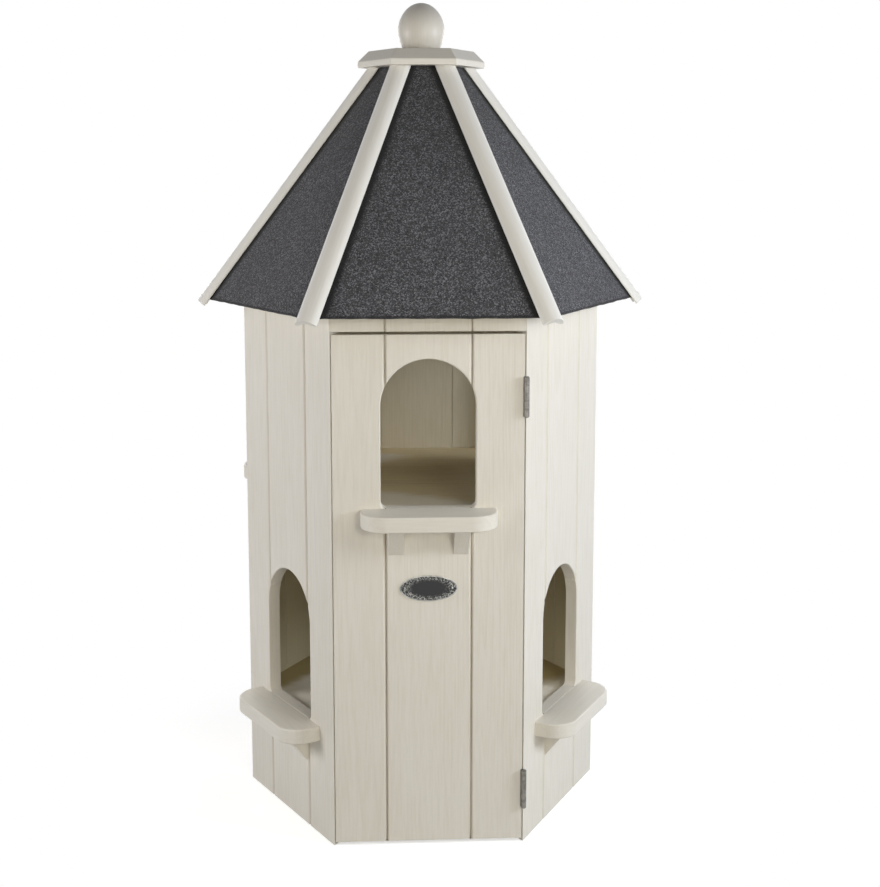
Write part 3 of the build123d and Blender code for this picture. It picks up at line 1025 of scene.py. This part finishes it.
def ball():
    """Turned ball, fuller below its middle, on a flat seat."""
    radius = ball_high.x
    middle = ball_low.z + BALL_BELOW
    above = ball_high.z - middle
    inward = radius - BALL_SEAT
    belly = (BALL_BELOW ** 2 + inward ** 2) / (2 * inward)
    sweep = asin(BALL_BELOW / belly)
    outline = [(0, ball_low.z)]
    for step in range(BALL_STEPS_BELOW):
        angle = -sweep * (1 - step / BALL_STEPS_BELOW)
        outline.append((radius - belly + belly * cos(angle), middle + belly * sin(angle)))
    for angle in quarter_turn(BALL_STEPS_ABOVE):
        outline.append((radius * cos(angle), middle + above * sin(angle)))
    bm = bmesh.new()
    join(bm, [bm.verts.new((reach, 0, height)) for reach, height in outline])
    profile = everything(bm)
    bmesh.ops.spin(bm, geom=profile, cent=MIDDLE, axis=Z, angle=2 * pi, steps=96, use_merge=True)
    bmesh.ops.remove_doubles(bm, verts=bm.verts, dist=NEAR)
    lay_grain(bm, Z, X, Vector((0, 0, middle)))
    finish_piece(bm, "ball", "house", [turned_stain], ["ball_finial"])


for face in FACES:
    roof_sheet(face)
for number in range(1, len(FACES) + 1):
    hip_batten(number)
roof_cap()
ball()


# ---- hinges and screws
def screw_heads(name, body, places, out, head):
    """Countersunk screw heads with cross recesses, slightly proud of a board or leaf."""
    radius, proud = head
    sunk = SCREW_SUNK * proud
    heads = bmesh.new()
    stands = []
    for place in places:
        spin = Matrix.Rotation(timber_yard.uniform(0, pi), 4, "Z")
        facing = out.to_track_quat("Z", "Y").to_matrix().to_4x4()
        stand = Matrix.Translation(place) @ facing @ spin
        stands.append(stand)
        made = bmesh.ops.create_circle(
            heads, cap_ends=True, segments=28, radius=radius, matrix=stand
        )["verts"]
        bmesh.ops.translate(heads, vec=out * -sunk, verts=made)
        rim = push_out(heads, made[0].link_faces[:], out * (sunk + SCREW_EDGE * proud))
        crown = push_out(heads, [rim], out * (1 - SCREW_EDGE) * proud)
        space = Matrix.Translation(-crown.calc_center_median())
        bmesh.ops.scale(heads, vec=[SCREW_CROWN] * 3, verts=crown.verts[:], space=space)
    for long, wide in ((RECESS_LONG, RECESS_WIDE), (RECESS_WIDE, RECESS_LONG)):
        bars = bmesh.new()
        for stand in stands:
            bar = bmesh.ops.create_cube(bars, size=1)["verts"]
            size = (long * radius, wide * radius, RECESS_TALL * proud)
            bmesh.ops.scale(bars, vec=size, verts=bar)
            bmesh.ops.translate(bars, vec=(0, 0, proud), verts=bar)
            bmesh.ops.transform(bars, matrix=stand, verts=bar)
        heads = cut(heads, bars)
    finish_piece(heads, name, body, [screw_steel])


def leaf_places(offset):
    """Three places down the middle of both leaves, the given offset from the wall's mitre."""
    start = hinge_corner + into_mitre * LEAF_SCREW_DEPTH + towards_door * offset
    steps = (-LEAF_SCREW_SPACING, 0, LEAF_SCREW_SPACING)
    return [start + Z * (middle + step) for middle in hinge_middles for step in steps]


def batten_places():
    """Four places along each of the door's battens."""
    low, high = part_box("door_battens")
    rows = [low.z + rise for rise in BATTEN_SCREW_RISES] + [high.z - BATTEN_SCREW_DROP]
    return [Vector((x, high.y, z)) for z in rows for x in BATTEN_SCREW_PLACES]


hinge_parts = {"hinge_frame_leaves": "house", "hinge_door_leaves": "door", "hinge_pins": "house"}
for node, body in hinge_parts.items():
    eased_copy(node, f"{node}_eased", body, hinge_metal, Z, X, LEAF_EASE)
wall_places, door_places = leaf_places(HINGE_LEAF), leaf_places(door_gap - HINGE_LEAF)
screw_heads("wall_leaf_screws", "house", wall_places, towards_door, LEAF_SCREW)
screw_heads("door_leaf_screws", "door", door_places, -towards_door, LEAF_SCREW)
screw_heads("batten_screws", "door", batten_places(), Y, BATTEN_SCREW)


# ---- name plate, left bare
def bare_plate():
    """Oval plate on the door, with a raised silver rim and two pins."""
    bm = bmesh.new()
    bmesh.ops.create_circle(bm, cap_ends=True, segments=80, radius=0.5)
    bmesh.ops.scale(bm, vec=(PLATE_WIDTH, PLATE_HEIGHT, 1), verts=bm.verts)
    upright = Matrix.Rotation(radians(90), 3, "X")
    bmesh.ops.rotate(bm, verts=bm.verts, cent=MIDDLE, matrix=upright)
    bmesh.ops.translate(bm, vec=(0, -outer, PLATE_MIDDLE), verts=bm.verts)
    field = push_out(bm, bm.faces[:], (0, -PLATE_THICKNESS, 0))
    bmesh.ops.recalc_face_normals(bm, faces=bm.faces)
    arris = list(field.edges)
    bmesh.ops.inset_region(bm, faces=[field], thickness=PLATE_RIM, depth=0)
    bmesh.ops.inset_region(bm, faces=[field], thickness=PLATE_SLOPE, depth=-PLATE_SUNK)
    for face in bm.faces:
        face.material_index = 0 if face == field else 1
    ease(bm, arris, PLATE_EASE)
    front = -outer - PLATE_THICKNESS + PIN_SUNK
    for x in PIN_PLACES:
        pin = bmesh.ops.create_uvsphere(bm, u_segments=16, v_segments=8, radius=PIN_RADIUS)
        bmesh.ops.scale(bm, vec=(1, PIN_FLATNESS, 1), verts=pin["verts"])
        bmesh.ops.translate(bm, vec=(x, front, PLATE_MIDDLE), verts=pin["verts"])
        for face in {f for v in pin["verts"] for f in v.link_faces}:
            face.material_index = 1
    finish_piece(bm, "oval_plate", "door", [plate_enamel, rim_silver])


bare_plate()


# ---- floor, light and camera
WHITE = (1, 1, 1)
FLOOR_RADIUS = 6
FLOOR_PAPER = (0.8, 0.8, 0.8)
FLOOR_GLOW = 0.52
FLOOR_BOUNCE = (0.57, 0.57, 0.56)
SHADOW_FADES = 0.24, 0.46  # metres from the middle of the house
SIDE_LIGHT, TOP_LIGHT = 0.03, 0.05  # strength of the world's light
TOP_LIGHT_FROM = 0.8  # height in the sky

CAMERA_PLACE = (-0.0672, -1.7398, 0.7914)
CAMERA_YAW = radians(2.96)
CAMERA_PITCH = radians(7.71)
CAMERA_SENSOR = 36
CAMERA_LENS = 57.1
CAMERA_SHIFT = -0.1054

LAMPS = {  # place, height it is aimed at, size, power, colour
    "right_box": ((1.48, -0.66, 0.88), 0.45, (0.7, 0.5), 16.8, (0.84, 0.90, 1.0)),
    "left_box": ((-1.57, -0.38, 0.78), 0.5, (0.8, 0.5), 13.3, (0.98, 0.98, 1.0)),
    "key_box": ((0.5, -1.8, 0.86), 0.4, (0.45, 0.45), 9.0, (1.0, 0.95, 0.83)),
    "high_key_box": ((0.8, -1.25, 1.3), 0.4, (0.3, 0.3), 2.3, (1.0, 1.0, 0.92)),
    "front_box": ((-0.1, -2.0, 0.45), 0.4, (0.5, 0.4), 2.8, (1.0, 0.93, 0.80)),
    "back_right_box": ((1.0, 1.6, 0.7), 0.45, (0.9, 0.9), 10, WHITE),
    "back_left_box": ((-0.8, 1.7, 0.7), 0.45, (0.9, 0.9), 10, WHITE),
}


def mix_shaders(tree, share, first, second):
    """Mix of two shaders."""
    mixed = add(tree, "ShaderNodeMixShader", Fac=share)
    plug(mixed.inputs[1], first)
    plug(mixed.inputs[2], second)
    return mixed.outputs[0]


def light_and_show(tree, surface, lit_by, seen_as):
    """Let one shader give the light, and show another to the eye and in gloss."""
    path = add(tree, "ShaderNodeLightPath").outputs
    seen = calc(tree, "MAXIMUM", path["Is Camera Ray"], path["Is Glossy Ray"])
    seen = calc(tree, "MAXIMUM", seen, path["Is Transmission Ray"])
    plug(surface, mix_shaders(tree, seen, lit_by, seen_as))


def pale_floor():
    """White paper that keeps the house's shadow near it and fades into the white around."""
    material = bpy.data.materials.new("pale_floor")
    tree, surface = bare_tree(material, "ShaderNodeOutputMaterial")
    away = vector_calc(tree, "LENGTH", place_on(tree), output=1)
    away = soft_spread(tree, away, SHADOW_FADES)
    shadowed = tree.nodes.new("ShaderNodeAddShader")
    paper = add(tree, "ShaderNodeBsdfDiffuse", Color=FLOOR_PAPER).outputs[0]
    glow = add(tree, "ShaderNodeEmission", Color=WHITE, Strength=FLOOR_GLOW).outputs[0]
    plug(shadowed.inputs[0], paper)
    plug(shadowed.inputs[1], glow)
    white = add(tree, "ShaderNodeEmission", Color=WHITE, Strength=1.0).outputs[0]
    bounce = add(tree, "ShaderNodeBsdfDiffuse", Color=FLOOR_BOUNCE).outputs[0]
    light_and_show(tree, surface, bounce, mix_shaders(tree, away, shadowed.outputs[0], white))
    return material


def studio_floor():
    """Round floor, wide enough to fill any view."""
    bm = bmesh.new()
    bmesh.ops.create_circle(bm, cap_ends=True, segments=96, radius=FLOOR_RADIUS)
    mesh = mesh_of(bm, "studio_floor")
    mesh.materials.append(pale_floor())
    floor = put_in_scene("studio_floor", mesh)


def studio_world():
    """White to look at; its light changes from the sides to overhead."""
    world = bpy.data.worlds.new("studio")
    bpy.context.scene.world = world
    tree, surface = bare_tree(world, "ShaderNodeOutputWorld")
    direction = add(tree, "ShaderNodeTexCoord").outputs["Generated"]
    height = parts_of(tree, direction)["Z"]
    reach = {"From_Min": 0.0, "From_Max": TOP_LIGHT_FROM, "To_Min": SIDE_LIGHT, "To_Max": TOP_LIGHT}
    strength = add(tree, "ShaderNodeMapRange", Value=height, **reach).outputs[0]
    light = add(tree, "ShaderNodeBackground", Color=WHITE, Strength=strength).outputs[0]
    white = add(tree, "ShaderNodeBackground", Color=WHITE, Strength=1.0).outputs[0]
    light_and_show(tree, surface, light, white)


def softbox(name, place, aim_height, size, power, colour):
    """Soft lamp aimed at the upright axis of the house."""
    data = bpy.data.lights.new(name, "AREA")
    data.shape = "RECTANGLE"
    data.size, data.size_y = size
    data.energy = power
    data.color = colour
    lamp = put_in_scene(name, data)
    lamp.visible_camera = False
    lamp.location = place
    aim = Vector((0, 0, aim_height)) - Vector(place)
    lamp.rotation_euler = aim.to_track_quat("-Z", "Y").to_euler()


def camera():
    """Camera in front of the house, a little above its middle."""
    data = bpy.data.cameras.new("camera")
    data.sensor_fit = "VERTICAL"
    data.sensor_height = data.sensor_width = CAMERA_SENSOR
    data.lens = CAMERA_LENS
    data.shift_y = CAMERA_SHIFT
    obj = put_in_scene("camera", data)
    obj.location = CAMERA_PLACE
    obj.rotation_euler = (radians(90) - CAMERA_PITCH, 0, -CAMERA_YAW)
    bpy.context.scene.camera = obj


studio_floor()
studio_world()
for name, lamp in LAMPS.items():
    softbox(name, *lamp)
camera()
bpy.context.scene.view_settings.view_transform = "Standard"
